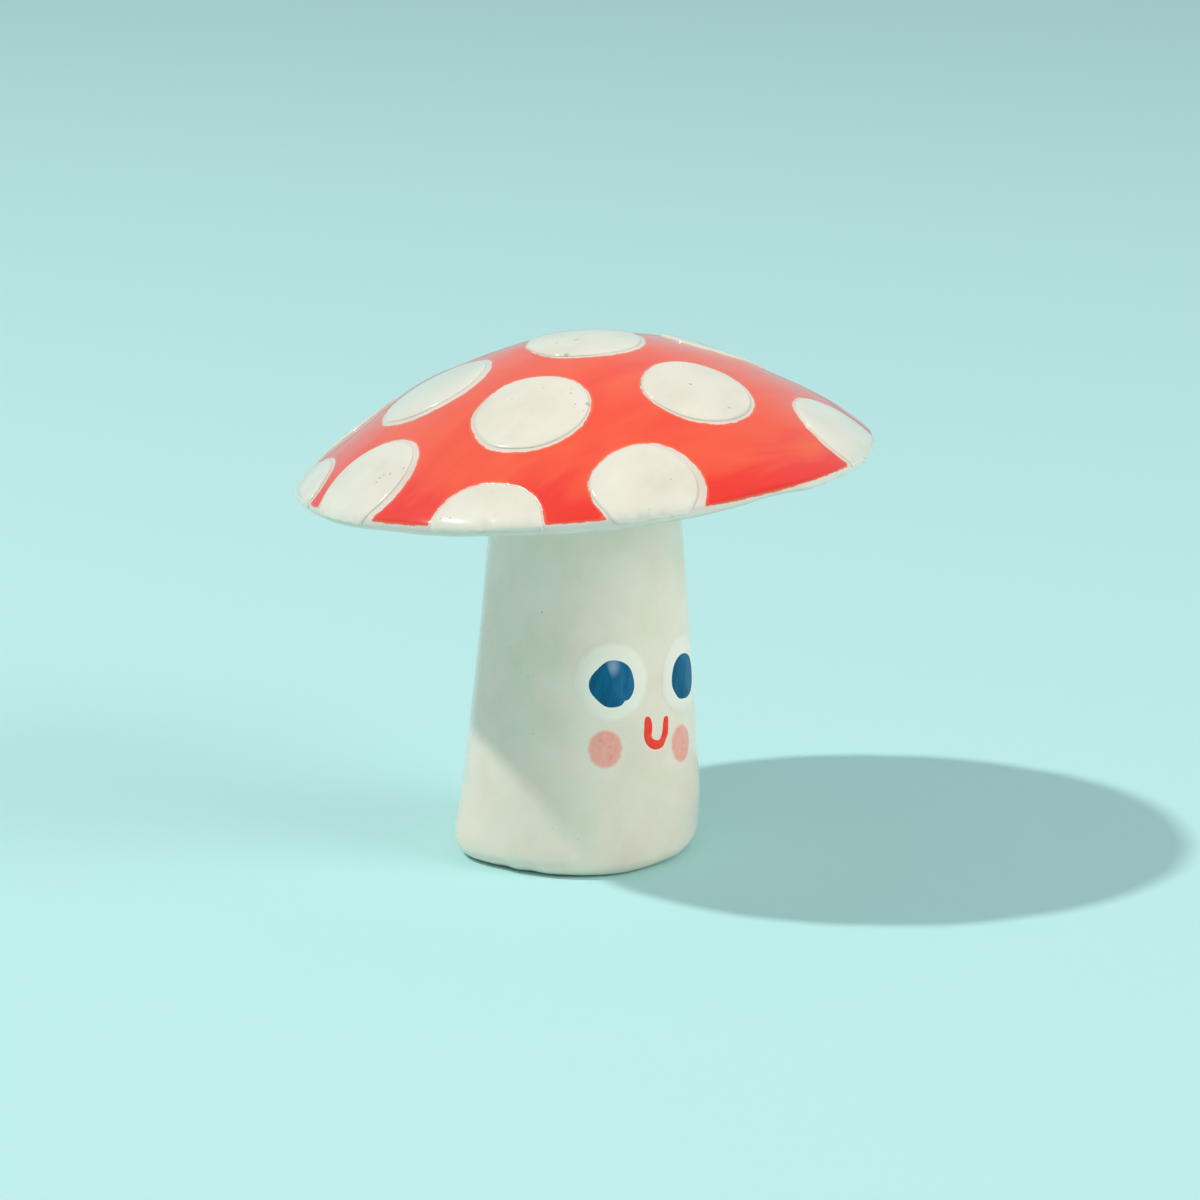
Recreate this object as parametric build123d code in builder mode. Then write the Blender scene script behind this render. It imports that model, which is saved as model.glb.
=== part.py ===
from build123d import *
import os
from math import cos, degrees, radians, sin

os.makedirs("parts", exist_ok=True)

# Cap: a bowl of clay turned upside down
cap_diameter = 79.0
cap_rise = 17.7
cap_wall = 3.4
lip_thickness = 2.4
rim_height = 54.1
cap_tilt = 5.3
cap_tilt_azimuth = 220.3
cap_shift = 0.9

# Stem: a leaning tube of clay
stem_top_diameter = 24.7
stem_foot_diameter = 34.8
stem_wall = 4.0
stem_lean = 1.2
lean_azimuth = 49.5

# Foot: a disc of clay that closes the stem
foot_thickness = 5.0
foot_edge_radius = 2.6
vent_diameter = 6.0
vent_offset = 6.0
vent_azimuth = 90.0

# Coil of clay in the corner between stem and cap
coil_width = 4.2
coil_height = 5.0
coil_edge = 1.2
coil_hollow_share = 0.32

# Raised discs on the cap: the least gap between two of them, and how far one wraps the rounded lip
spot_gap = 1.3
spot_spacing_share = 0.215
spot_lip_reach = 1.1
spot_thickness = 0.5
spot_edge_radius = 0.25
spot_cut_depth = 9.0
spot_cut_height = 5.0

# Low discs around the irises
eye_disc_diameter = 11.2
eye_disc_thickness = 0.4
eye_edge_radius = 0.2
eye_height = 26.4
eye_azimuth = 25.1

# Spare length of a tool body past what it cuts
overrun = 2.0

# Azimuths are degrees about the upright axis, from the side of the face towards +X
cap_radius = cap_diameter / 2
nose_radius = lip_thickness / 2
nose_centre_radius = cap_radius - nose_radius

# Outer line of the cap, from the crown outwards: share of the radius, share of the rise, slope in degrees
cap_line_shares = [
    (0.0, 1.0, 0.0),
    (0.2, 0.953, 11.4),
    (0.4, 0.829, 18.9),
    (0.6, 0.642, 27.3),
    (0.8, 0.374, 32.7),
]
lip_slope = 46.0
inner_lip_slope = 28.0

# The closest middles of two spots lie a share of the cap's diameter apart, with the least gap between them
spot_diameter = cap_diameter * spot_spacing_share - spot_gap

# Degrees of the lip that a spot wraps, and from a spot's middle to where its turned faces close
lip_turn = degrees(spot_lip_reach / nose_radius)
seam_turn = 135.0

# Places of the spots: share of the cap's radius, azimuth in degrees, share of the usual diameter
spot_shares = [
    (0.06, 0.0, 1.03),
    (0.50, -117.0, 1.03),
    (0.555, -57.0, 1.01),
    (0.57, 5.5, 0.98),
    (0.525, 76.5, 1.0),
    (0.50, 135.5, 1.01),
    (0.74, 176.0, 0.98),
    (0.905, -26.5, 0.95),
    (1.025, -60.0, 1.02),
    (0.89, -96.0, 1.02),
    (1.045, -122.5, 1.03),
    (0.865, -152.0, 1.01),
    (0.935, 34.5, 1.08),
    (0.93, 90.0, 1.0),
    (0.94, 118.0, 0.97),
    (0.93, 146.0, 1.0),
]


def flat_direction(azimuth):
    return Vector(sin(radians(azimuth)), -cos(radians(azimuth)), 0)


# The cap's own frame: origin at the centre of the rim, axis tilted
cap_centre = flat_direction(lean_azimuth) * cap_shift + Vector(0, 0, rim_height)
cap_up = flat_direction(cap_tilt_azimuth) * sin(radians(cap_tilt)) + Vector(0, 0, cos(radians(cap_tilt)))
cap_axis = Axis(cap_centre, cap_up)

# The stem's own frame: origin at the centre of the foot's underside, axis leaning
stem_up = (flat_direction(lean_azimuth) * stem_lean + Vector(0, 0, rim_height)).normalized()
stem_axis = Axis((0, 0, 0), stem_up)


def cap_section(azimuth):
    """Plane through the cap's axis, its x pointing outwards at an azimuth and its y up the axis."""
    side = flat_direction(azimuth)
    outward = (side - cap_up * side.dot(cap_up)).normalized()
    return Plane(origin=cap_centre, x_dir=outward, z_dir=outward.cross(cap_up))


def stem_section(azimuth):
    """Plane through the stem's axis, its x pointing outwards at an azimuth and its y up the axis."""
    side = flat_direction(azimuth)
    outward = (side - stem_up * side.dot(stem_up)).normalized()
    return Plane(origin=(0, 0, 0), x_dir=outward, z_dir=outward.cross(stem_up))


def nose_point(gap, slope):
    """Point on the rounded lip, a gap outside the clay, where the surface has a slope."""
    reach = nose_radius + gap
    return (nose_centre_radius + reach * sin(radians(slope)), reach * cos(radians(slope)))


def cap_points(gap, lip_gap, end_slope):
    """Points of the cap's line a gap outside its outer surface, with the slope at each."""
    points = []
    for radius_share, rise_share, slope in cap_line_shares:
        across = radius_share * cap_radius + gap * sin(radians(slope))
        up = rise_share * cap_rise + gap * cos(radians(slope))
        points.append((across, up, slope))
    points.append((*nose_point(lip_gap, end_slope), end_slope))
    return points


def cap_curve(points):
    """Smooth line of the cap from the crown to the start of the lip."""
    places = [(across, up) for across, up, slope in points]
    ways = [(cos(radians(slope)), -sin(radians(slope))) for across, up, slope in points]
    return Spline(*places, tangents=ways)


def outer_points(gap):
    """Points a gap outside the cap, all the way to the lip."""
    return cap_points(gap, gap, lip_slope)


def inner_points():
    """Points of the cap's hollow side, where the wall thins towards the lip."""
    return cap_points(-cap_wall, -lip_thickness, inner_lip_slope)


def cap_place_at(radius_share):
    """Place and slope of the outer line at a share of the cap's radius, straight on past the lip's start."""
    points = outer_points(0)
    radius = radius_share * cap_radius
    for inner, outer in zip(points, points[1:]):
        if radius <= outer[0]:
            part = (radius - inner[0]) / (outer[0] - inner[0])
            return radius, inner[1] + part * (outer[1] - inner[1]), inner[2] + part * (outer[2] - inner[2])
    across, up, slope = points[-1]
    past = radius - across
    return across + past * cos(radians(slope)), up - past * sin(radians(slope)), slope


def stem_radius_at(height):
    """Radius of the stem's outer surface at a height up its axis: a straight taper."""
    foot = stem_foot_diameter / 2
    top = stem_top_diameter / 2
    return foot + (top - foot) * height / rim_height


def stem_side(gap):
    """Line up the stem's side a gap outside its outer surface, from below the foot to above the crown."""
    ends = (-overrun, rim_height + cap_rise)
    return Line(*[(stem_radius_at(height) + gap, height) for height in ends])


# Cap shell
with BuildPart() as cap_shell:
    with BuildSketch(cap_section(0)):
        with BuildLine():
            outside = cap_curve(outer_points(0))
            inside = cap_curve(inner_points())
            ThreePointArc(outside @ 1, (cap_radius, 0), inside @ 1)
            Line(inside @ 0, outside @ 0)
        make_face()
    revolve(axis=cap_axis)
cap_shell.part.label = "cap_shell"
export_step(cap_shell.part, "parts/cap_shell.step")

# The room under the cap's inner surface, which trims what stands inside the cap
with BuildPart() as cap_room:
    with BuildSketch(cap_section(0)):
        with BuildLine():
            inside = cap_curve(inner_points())
            floor_level = -rim_height - cap_diameter
            Polyline(inside @ 1, ((inside @ 1).X, floor_level), (0, floor_level), inside @ 0)
        make_face()
    revolve(axis=cap_axis)

# The whole leaning column that the stem and the foot are cut from
with BuildPart() as column:
    with BuildSketch(stem_section(0)):
        with BuildLine():
            side = stem_side(0)
            Polyline(side @ 0, (0, (side @ 0).Y), (0, (side @ 1).Y), side @ 1)
        make_face()
    revolve(axis=stem_axis)

# Stem tube
with BuildPart() as stem_tube:
    add(column.part)
    with BuildSketch(stem_section(0)):
        with BuildLine():
            bore_side = stem_side(-stem_wall)
            Polyline(bore_side @ 0, (0, (bore_side @ 0).Y), (0, (bore_side @ 1).Y), bore_side @ 1)
        make_face()
    revolve(axis=stem_axis, mode=Mode.SUBTRACT)
    split(bisect_by=Plane.XY.offset(foot_thickness), keep=Keep.TOP)
    add(cap_room.part, mode=Mode.INTERSECT)
stem_tube.part.label = "stem_tube"
export_step(stem_tube.part, "parts/stem_tube.step")

# Foot slab, with the vent hole that lets the kiln's heat out of the hollow stem
with BuildPart() as foot_slab:
    add(column.part)
    split(bisect_by=Plane.XY.offset(foot_thickness), keep=Keep.BOTTOM)
    split(bisect_by=Plane.XY, keep=Keep.TOP)
    fillet(foot_slab.faces().sort_by(Axis.Z)[0].edges(), radius=foot_edge_radius)
    with Locations(flat_direction(vent_azimuth) * vent_offset + Vector(0, 0, foot_thickness)):
        Hole(radius=vent_diameter / 2)
foot_slab.part.label = "foot_slab"
export_step(foot_slab.part, "parts/foot_slab.step")

# Luting coil, smeared into the corner between the stem and the inside of the cap
joint_across, joint_rise, joint_slope = cap_place_at(stem_radius_at(rim_height + cap_rise) / cap_radius)
joint_height = rim_height + joint_rise - cap_wall * cos(radians(joint_slope))
joint_centre = stem_up * joint_height
coil_axis = Axis(joint_centre, cap_up)
with BuildPart() as luting_coil:
    section = cap_section(0)
    with BuildSketch(Plane(origin=joint_centre, x_dir=section.x_dir, z_dir=section.z_dir)):
        with BuildLine():
            root = stem_radius_at(joint_height)
            smear = ThreePointArc(
                (root + coil_edge, -coil_height),
                (root + coil_edge + coil_width * coil_hollow_share, -coil_height * coil_hollow_share),
                (root + coil_width, 0),
            )
            Polyline(smear @ 1, (root + coil_width, coil_height), (root - coil_edge, coil_height),
                     (root - coil_edge, -coil_height), smear @ 0)
        make_face()
    revolve(axis=coil_axis)
    add(column.part, mode=Mode.SUBTRACT)
    add(cap_room.part, mode=Mode.INTERSECT)
luting_coil.part.label = "luting_coil"
export_step(luting_coil.part, "parts/luting_coil.step")


def spot_disc(radius_share, azimuth, size_share):
    """Disc of clay that lies on the cap's outer surface and wraps the lip where it reaches it."""
    across, height, slope = cap_place_at(radius_share)
    section = cap_section(azimuth)
    centre = section.from_local_coords(Vector(across, height, 0))
    normal = (section.x_dir * sin(radians(slope)) + cap_up * cos(radians(slope))).normalized()
    radius = spot_diameter * size_share / 2

    def is_outer_rim(edge):
        middle = edge @ 0.5
        off_axis = (middle - centre).cross(normal).length
        rise = cap_shell.part.distance_to(Vertex(middle))
        return min(off_axis - radius, rise - spot_thickness) > -spot_edge_radius / 2

    with BuildPart() as disc:
        with BuildSketch(cap_section(azimuth + seam_turn)):
            with BuildLine():
                under = cap_curve(outer_points(0))
                over = cap_curve(outer_points(spot_thickness))
                lip_middle = lip_slope + lip_turn / 2
                lip_end = lip_slope + lip_turn
                inner_end = nose_point(0, lip_end)
                outer_end = nose_point(spot_thickness, lip_end)
                ThreePointArc(under @ 1, nose_point(0, lip_middle), inner_end)
                ThreePointArc(over @ 1, nose_point(spot_thickness, lip_middle), outer_end)
                Line(inner_end, outer_end)
                Line(under @ 0, over @ 0)
            make_face()
        revolve(axis=cap_axis)
        with BuildSketch(Plane(origin=centre - normal * spot_cut_depth, z_dir=normal)):
            Circle(radius=radius)
        extrude(amount=spot_cut_depth + spot_cut_height, mode=Mode.INTERSECT)
        rim_edges = disc.edges().filter_by(is_outer_rim)
        fillet(rim_edges, radius=spot_edge_radius)
    return disc.part


# Raised discs on the cap
for number, (radius_share, azimuth, size_share) in enumerate(spot_shares, start=1):
    spot = spot_disc(radius_share, azimuth, size_share)
    spot.label = f"spot_disc_{number:02d}"
    export_step(spot, f"parts/{spot.label}.step")


def eye_disc(azimuth):
    """Low disc that lies on the stem's outer surface around an iris."""
    section = stem_section(azimuth)
    centre = stem_up * eye_height + section.x_dir * stem_radius_at(eye_height)
    with BuildPart() as disc:
        with BuildSketch(stem_section(azimuth + seam_turn)):
            with BuildLine():
                under = stem_side(0)
                over = stem_side(eye_disc_thickness)
                Line(under @ 0, over @ 0)
                Line(under @ 1, over @ 1)
            make_face()
        revolve(axis=stem_axis)
        with BuildSketch(Plane(origin=centre - section.x_dir * overrun, z_dir=section.x_dir)):
            Circle(radius=eye_disc_diameter / 2)
        extrude(amount=2 * overrun, mode=Mode.INTERSECT)
        outer_face = disc.faces().sort_by_distance(centre + section.x_dir * eye_disc_thickness)[0]
        fillet(outer_face.edges(), radius=eye_edge_radius)
    return disc.part


# Low discs around the irises, on the viewer's left and right of the face
for side, azimuth in (("left", -eye_azimuth), ("right", eye_azimuth)):
    disc = eye_disc(azimuth)
    disc.label = f"eye_disc_{side}"
    export_step(disc, f"parts/{disc.label}.step")
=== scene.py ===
import bmesh
import bpy
from math import atan2, copysign, cos, degrees, pi, radians, sin, sqrt
from mathutils import Matrix, Vector
from random import Random


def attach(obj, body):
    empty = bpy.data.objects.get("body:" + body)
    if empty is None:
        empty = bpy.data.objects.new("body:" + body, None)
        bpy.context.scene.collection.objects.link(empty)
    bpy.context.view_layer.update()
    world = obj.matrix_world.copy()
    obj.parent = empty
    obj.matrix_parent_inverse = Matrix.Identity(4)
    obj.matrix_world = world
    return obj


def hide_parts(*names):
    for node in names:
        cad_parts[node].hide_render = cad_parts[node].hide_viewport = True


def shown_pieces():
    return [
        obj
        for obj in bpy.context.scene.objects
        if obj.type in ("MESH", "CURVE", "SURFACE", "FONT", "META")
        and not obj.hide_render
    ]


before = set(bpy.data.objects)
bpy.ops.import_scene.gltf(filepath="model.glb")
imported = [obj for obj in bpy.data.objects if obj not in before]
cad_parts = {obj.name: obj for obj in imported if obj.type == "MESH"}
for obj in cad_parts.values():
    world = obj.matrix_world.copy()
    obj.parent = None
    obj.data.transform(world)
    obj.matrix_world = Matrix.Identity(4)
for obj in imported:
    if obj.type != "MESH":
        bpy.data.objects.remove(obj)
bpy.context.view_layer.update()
mm = 0.001  # sizes are written in millimetres and turned to metres by this
levelSlack = 0.01  # points this close in height are level, in mm
doubleSlack = 0.001  # points this close are one point, in mm
edgeSlack = 0.0001  # a point this close to the outline is on it, in mm
sharpAngle = 50  # degrees past which an edge is shaded sharp
print("frame loaded,", len(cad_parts), "nodes")


def flatDirection(azimuth):  # degrees from the side that the face looks to, towards +X
    return Vector((sin(radians(azimuth)), -cos(radians(azimuth)), 0))


def pickOnly(piece):  # makes a piece the active and the only selected one
    bpy.ops.object.select_all(action="DESELECT")
    bpy.context.view_layer.objects.active = piece
    piece.select_set(True)


def openEdit(piece):  # edit mode on one piece, with nothing selected in it
    pickOnly(piece)
    bpy.ops.object.mode_set(mode="EDIT")
    bpy.ops.mesh.select_mode(type="VERT")
    bpy.ops.mesh.select_all(action="DESELECT")


def closeEdit():
    bpy.ops.object.mode_set(mode="OBJECT")


def selectPoints(piece, chosen):  # in edit mode, selects the points that pass a test of their place
    shape = bmesh.from_edit_mesh(piece.data)
    for point in shape.verts:
        point.select_set(chosen(point.co))
    shape.select_flush(True)
    bmesh.update_edit_mesh(piece.data)


def applyModifier(piece, kind, settings):  # one modifier, set up and applied at once
    pickOnly(piece)
    modifier = piece.modifiers.new(kind.lower(), kind)
    for name, value in settings.items():
        setattr(modifier, name, value)
    bpy.ops.object.modifier_apply(modifier=modifier.name)


def bakePlace(piece, place):  # puts the piece where it belongs and leaves its object at the origin
    pickOnly(piece)
    piece.matrix_world = place
    bpy.ops.object.transform_apply(location=True, rotation=True, scale=True)


def raiseRings(name, rings, segments, drift=Vector()):  # a circle, extruded and scaled from ring to ring
    bpy.ops.object.select_all(action="DESELECT")
    across, up = rings[0]
    bpy.ops.mesh.primitive_circle_add(vertices=segments, radius=across * mm, location=(0, 0, up * mm))
    piece = bpy.context.object
    piece.name = name
    piece.data.name = name
    bpy.ops.object.transform_apply(location=True, rotation=True, scale=True)
    bpy.ops.object.mode_set(mode="EDIT")
    upward = drift + Vector((0, 0, 1))
    for (lastAcross, lastUp), (nextAcross, nextUp) in zip(rings, rings[1:]):
        climb = upward * (nextUp - lastUp) * mm
        bpy.ops.mesh.extrude_region_move(TRANSFORM_OT_translate={"value": climb})
        grow = nextAcross / lastAcross
        middle = upward * nextUp * mm
        bpy.ops.transform.resize(value=(grow, grow, 1), center_override=middle)
    bpy.ops.mesh.select_all(action="DESELECT")
    closeEdit()
    return piece


def closePole(piece, across, up):  # draws the small ring at a height together to one point
    def inRing(co):
        return abs(co.z - up * mm) < levelSlack * mm and Vector(co.xy).length < across * 2 * mm

    openEdit(piece)
    selectPoints(piece, inRing)
    bpy.ops.mesh.merge(type="CENTER")
    closeEdit()


def outwardNormals(piece):
    openEdit(piece)
    bpy.ops.mesh.select_all(action="SELECT")
    bpy.ops.mesh.remove_doubles(threshold=doubleSlack * mm)
    bpy.ops.mesh.normals_make_consistent(inside=False)
    bpy.ops.mesh.select_all(action="DESELECT")
    closeEdit()


def pushClay(piece, pushes):  # soft pushes with proportional editing: place, move and reach in mm
    openEdit(piece)
    for place, move, reach in pushes:
        target = Vector(place) * mm
        shape = bmesh.from_edit_mesh(piece.data)
        nearest = min(shape.verts, key=lambda point: (point.co - target).length)
        for point in shape.verts:
            point.select_set(point == nearest)
        bmesh.update_edit_mesh(piece.data)
        bpy.ops.transform.translate(value=Vector(move) * mm, use_proportional_edit=True,
                                    proportional_edit_falloff="SMOOTH", proportional_size=reach * mm)
    bpy.ops.mesh.select_all(action="DESELECT")
    closeEdit()


def smoothLine(points, slopes, steps):  # a smooth line through points, with the way it heads at each
    line = []
    for (x0, y0), (x1, y1), (u0, v0), (u1, v1) in zip(points, points[1:], slopes, slopes[1:]):
        reach = sqrt((x1 - x0) ** 2 + (y1 - y0) ** 2)
        for step in range(steps):
            t = step / steps
            a = 2 * t ** 3 - 3 * t ** 2 + 1
            b = (t ** 3 - 2 * t ** 2 + t) * reach
            c = 3 * t ** 2 - 2 * t ** 3
            d = (t ** 3 - t ** 2) * reach
            line.append((a * x0 + b * u0 + c * x1 + d * u1, a * y0 + b * v0 + c * y1 + d * v1))
    line.append(points[-1])
    return line


def linearOf(hexCode):  # an sRGB hex colour as the linear values that a socket takes
    channels = [int(hexCode[place:place + 2], 16) / 255 for place in (1, 3, 5)]
    return [c / 12.92 if c <= 0.04045 else ((c + 0.055) / 1.055) ** 2.4 for c in channels] + [1]


def addNode(tree, kind, settings=None, links=None):  # a node, its settings and what feeds its sockets
    node = tree.nodes.new(kind)
    for name, value in (settings or {}).items():
        if isinstance(name, str) and hasattr(node, name):
            setattr(node, name, value)
        else:
            node.inputs[name].default_value = value
    for socket, source in (links or {}).items():
        tree.links.new(source, node.inputs[socket])
    return node


def newMaterial(name):
    material = bpy.data.materials.new(name)
    material.use_nodes = True
    material.node_tree.nodes.clear()
    return material, material.node_tree


def rampOf(tree, factor, stops):  # a colour ramp from (place, hex colour) stops
    ramp = addNode(tree, "ShaderNodeValToRGB", links={"Fac": factor})
    elements = ramp.color_ramp.elements
    while len(elements) < len(stops):
        elements.new(0.5)
    for element, (place, hexCode) in zip(elements, stops):
        element.position = place
        element.color = linearOf(hexCode)
    return ramp.outputs["Color"]


# The camera stands where the photograph was taken from: a long lens, close to level with the cap
view = {
    "azimuth": -40.5, "elevation": 14, "distance": 650, "aim": (2.14, -1.83, 34.95),  # degrees and mm
    "lens": 142.1, "sensor": 36,
}
away = radians(view["azimuth"])
lift = radians(view["elevation"])
back = Vector((sin(away) * cos(lift), -cos(away) * cos(lift), sin(lift)))
bpy.ops.object.camera_add(location=(Vector(view["aim"]) + back * view["distance"]) * mm)
camera = bpy.context.object
camera.name = "camera"
camera.rotation_mode = "QUATERNION"
camera.rotation_quaternion = (-back).to_track_quat("-Z", "Y")
camera.data.lens = view["lens"]
camera.data.sensor_width = view["sensor"]
scene = bpy.context.scene
scene.camera = camera
scene.view_settings.view_transform = "Standard"
print("camera placed")


# Cap: a shallow dome of clay that thins towards a rounded lip, tilted a little
cap = {
    "radius": 39.5, "rise": 17.7, "wall": 3.4, "lip": 2.4, "rimHeight": 54.1,
    "tilt": 5.3, "tiltAzimuth": 220.3, "shift": 0.9, "shiftAzimuth": 49.5,
    "segments": 64, "lineSteps": 2, "lipSteps": 8, "poleRadius": 0.5, "lipSlope": 46, "hollowSlope": 28,
    # Its line from the crown outwards: share of the radius, share of the rise, slope in degrees
    "line": [(0.0, 1.0, 0.0), (0.2, 0.953, 11.4), (0.4, 0.829, 18.9), (0.6, 0.642, 27.3), (0.8, 0.374, 32.7)],
    # Degrees round the lip where the red stops, 90 being its outermost line, and how much that varies
    "paintEnd": 72, "paintSpread": 9, "paintAzimuth": 50,
    # Unevenness: azimuth in degrees, mm from the axis, mm over the rim, mm pushed up and mm of reach
    "pushes": [(75, 28, 9, -0.55, 11), (-156, 25, 11, 0.45, 11), (-150, 34.5, 5, 0.4, 7),
               (0, 0, 17, 0.25, 14), (87, 17, 14, 0.3, 8), (-3, 38.5, 0, 0.5, 12),
               (-82, 38.5, 0, 0.32, 12), (33, 38.8, 0, -0.25, 6), (8, 39, -1, -0.15, 3),
               (18, 39, -1, 0.15, 3)],
}
rounding = {"levels": 2, "render_levels": 2}  # how finely the cap and the stem are subdivided
clayLumps = {"size": 17, "middle": 0.6, "onCap": 0.5, "onStem": 0.35}  # left by the fingers that pressed it
capCentre = flatDirection(cap["shiftAzimuth"]) * cap["shift"] + Vector((0, 0, cap["rimHeight"]))
capTilt = radians(cap["tilt"])
capUp = flatDirection(cap["tiltAzimuth"]) * sin(capTilt) + Vector((0, 0, cos(capTilt)))
capTurn = Vector((0, 0, 1)).rotation_difference(capUp).to_matrix().to_4x4()
capPlace = Matrix.Translation(capCentre * mm) @ capTurn
noseRadius = cap["lip"] / 2
noseAcross = cap["radius"] - noseRadius


def nosePoint(turn):  # a point on the rounded lip, turned by degrees from straight up
    return noseAcross + noseRadius * sin(radians(turn)), noseRadius * cos(radians(turn))


def capLine(gap, lipTurn, lipSlope):  # a line from crown to lip, a gap outside the cap's outer surface
    places, ways = [], []
    for radiusShare, riseShare, slope in cap["line"]:
        tip = radians(slope)
        places.append((radiusShare * cap["radius"] + gap * sin(tip),
                       riseShare * cap["rise"] + gap * cos(tip)))
        ways.append((cos(tip), -sin(tip)))
    places.append(nosePoint(lipTurn))
    ways.append((cos(radians(lipSlope)), -sin(radians(lipSlope))))
    return smoothLine(places, ways, cap["lineSteps"])


def overCap(azimuth, across, level):  # a point in mm, given in the tilted frame of the cap
    return capCentre + capTurn @ (flatDirection(azimuth) * across + Vector((0, 0, level)))


lipEnd = 180 + cap["hollowSlope"]
lipRings = [nosePoint(cap["lipSlope"] + (lipEnd - cap["lipSlope"]) * step / cap["lipSteps"])
            for step in range(1, cap["lipSteps"])]
outerRings = capLine(0, cap["lipSlope"], cap["lipSlope"])[1:]
innerRings = capLine(-cap["wall"], lipEnd, cap["hollowSlope"])[1:][::-1]
crownRing = (cap["poleRadius"], cap["rise"])
hollowRing = (cap["poleRadius"], cap["rise"] - cap["wall"])
capRings = [crownRing] + outerRings + lipRings + innerRings + [hollowRing]
capShell = raiseRings("capShell", capRings, cap["segments"])
closePole(capShell, *crownRing)
closePole(capShell, *hollowRing)
outwardNormals(capShell)
applyModifier(capShell, "SUBSURF", rounding)
bakePlace(capShell, capPlace)
print("cap shell raised")

lumps = bpy.data.textures.new("handPressedLumps", "CLOUDS")
lumps.noise_scale = clayLumps["size"] * mm
applyModifier(capShell, "DISPLACE", {"texture": lumps, "texture_coords": "LOCAL",
                                     "strength": clayLumps["onCap"] * mm, "mid_level": clayLumps["middle"]})
pushClay(capShell, [(overCap(azimuth, across, level), (0, 0, push), reach)
                    for azimuth, across, level, push, reach in cap["pushes"]])
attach(capShell, "root")
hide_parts("cap_shell")


# Stem: one outer skin over tube and foot, smoothed together with a wet finger, hollow inside
stem = {
    "topRadius": 12.35, "footRadius": 17.4, "rimHeight": 54.1, "lean": 1.2, "leanAzimuth": 49.5, "wall": 4,
    "topHeight": 68.2, "floor": 5, "edge": 2.6, "segments": 48, "edgeSteps": 4, "rows": range(6, 66, 6),
    "ventRadius": 3, "ventPlace": (6, 0), "ventSegments": 40,
    "flatUnder": 0.08, "bareUnder": 0.1,  # what lies lower is pressed flat, or has no glaze, in mm
    # Unevenness: azimuth in degrees, mm of height, mm pushed out, mm pushed up and mm of reach
    "pushes": [(-112, 1.5, 0.8, 0, 9), (-150, 1.2, 0.6, 0, 8), (38, 1.2, -1, 0, 8.5), (70, 2, -0.4, 0, 8),
               (8, 1.2, -0.9, 0, 9), (-100, 0, 0.4, 0, 6), (-66, 0, 0, 0.3, 2.6),
               (-80, 0, 0, 0.22, 2.2), (-135, 40, 0.15, 0, 16)],
}
leanPerHeight = flatDirection(stem["leanAzimuth"]) * stem["lean"] / stem["rimHeight"]


def stemRadius(height):  # outer radius at a height: a straight taper
    return stem["footRadius"] + (stem["topRadius"] - stem["footRadius"]) * height / stem["rimHeight"]


footRings = []
for step in range(stem["edgeSteps"] + 1):
    turn = radians(90 * step / stem["edgeSteps"])
    footRings.append((stemRadius(stem["edge"]) - stem["edge"] * (1 - sin(turn)),
                      stem["edge"] * (1 - cos(turn))))
sideHeights = list(stem["rows"]) + [stem["topHeight"]]
sideRings = [(stemRadius(height), height) for height in sideHeights]
boreRings = [(radius - stem["wall"], height) for radius, height in sideRings[::-1]]
boreRings[-1] = (stemRadius(stem["floor"]) - stem["wall"], stem["floor"])
stemRings = [(stem["edge"], 0)] + footRings + sideRings + boreRings + [(stem["edge"], stem["floor"])]
stemSkin = raiseRings("stemSkin", stemRings, stem["segments"], leanPerHeight)
closePole(stemSkin, stem["edge"], 0)
closePole(stemSkin, stem["edge"], stem["floor"])
outwardNormals(stemSkin)
applyModifier(stemSkin, "SUBSURF", rounding)
bpy.ops.object.select_all(action="DESELECT")
ventX, ventY = stem["ventPlace"]
bpy.ops.mesh.primitive_cylinder_add(vertices=stem["ventSegments"], radius=stem["ventRadius"] * mm,
                                    depth=stem["floor"] * 3 * mm,
                                    location=(ventX * mm, ventY * mm, stem["floor"] / 2 * mm))
ventCutter = bpy.context.object
applyModifier(stemSkin, "BOOLEAN", {"object": ventCutter, "operation": "DIFFERENCE", "solver": "EXACT"})
bpy.data.objects.remove(ventCutter)
applyModifier(stemSkin, "DISPLACE", {"texture": lumps, "texture_coords": "LOCAL", "direction": "NORMAL",
                                     "strength": clayLumps["onStem"] * mm, "mid_level": clayLumps["middle"]})
openEdit(stemSkin)
selectPoints(stemSkin, lambda co: co.z < stem["flatUnder"] * mm)
bpy.ops.transform.resize(value=(1, 1, 0), center_override=(0, 0, 0))
closeEdit()
pushClay(stemSkin, [(flatDirection(azimuth) * stemRadius(height) + Vector((0, 0, height)),
                     flatDirection(azimuth) * outward + Vector((0, 0, upward)), reach)
                    for azimuth, height, outward, upward, reach in stem["pushes"]])
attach(stemSkin, "root")
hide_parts("stem_tube", "foot_slab")
print("stem raised")


# What lies on the clay is cut flat first, laid on it and then given its thickness
def faceUp(piece):  # a flat cut looks up, so that its thickness grows away from the clay
    outwardNormals(piece)
    if piece.data.polygons[0].normal.z < 0:
        openEdit(piece)
        bpy.ops.mesh.select_all(action="SELECT")
        bpy.ops.mesh.flip_normals()
        closeEdit()


flatCut = {
    "segments": 64,
    "edgeRows": (0, 0.06, 0.2, 0.4, 0.65, 1),  # shares of the fade, from the outline inwards
    "innerRows": (0.85, 0.65, 0.45, 0.25, 0.08), "middle": 0.1,  # shares of the radius inside the fade
    "stray": 0.3,  # how unevenly the pushes of a wobbly outline are spread, as a share of their spacing
}


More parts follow.
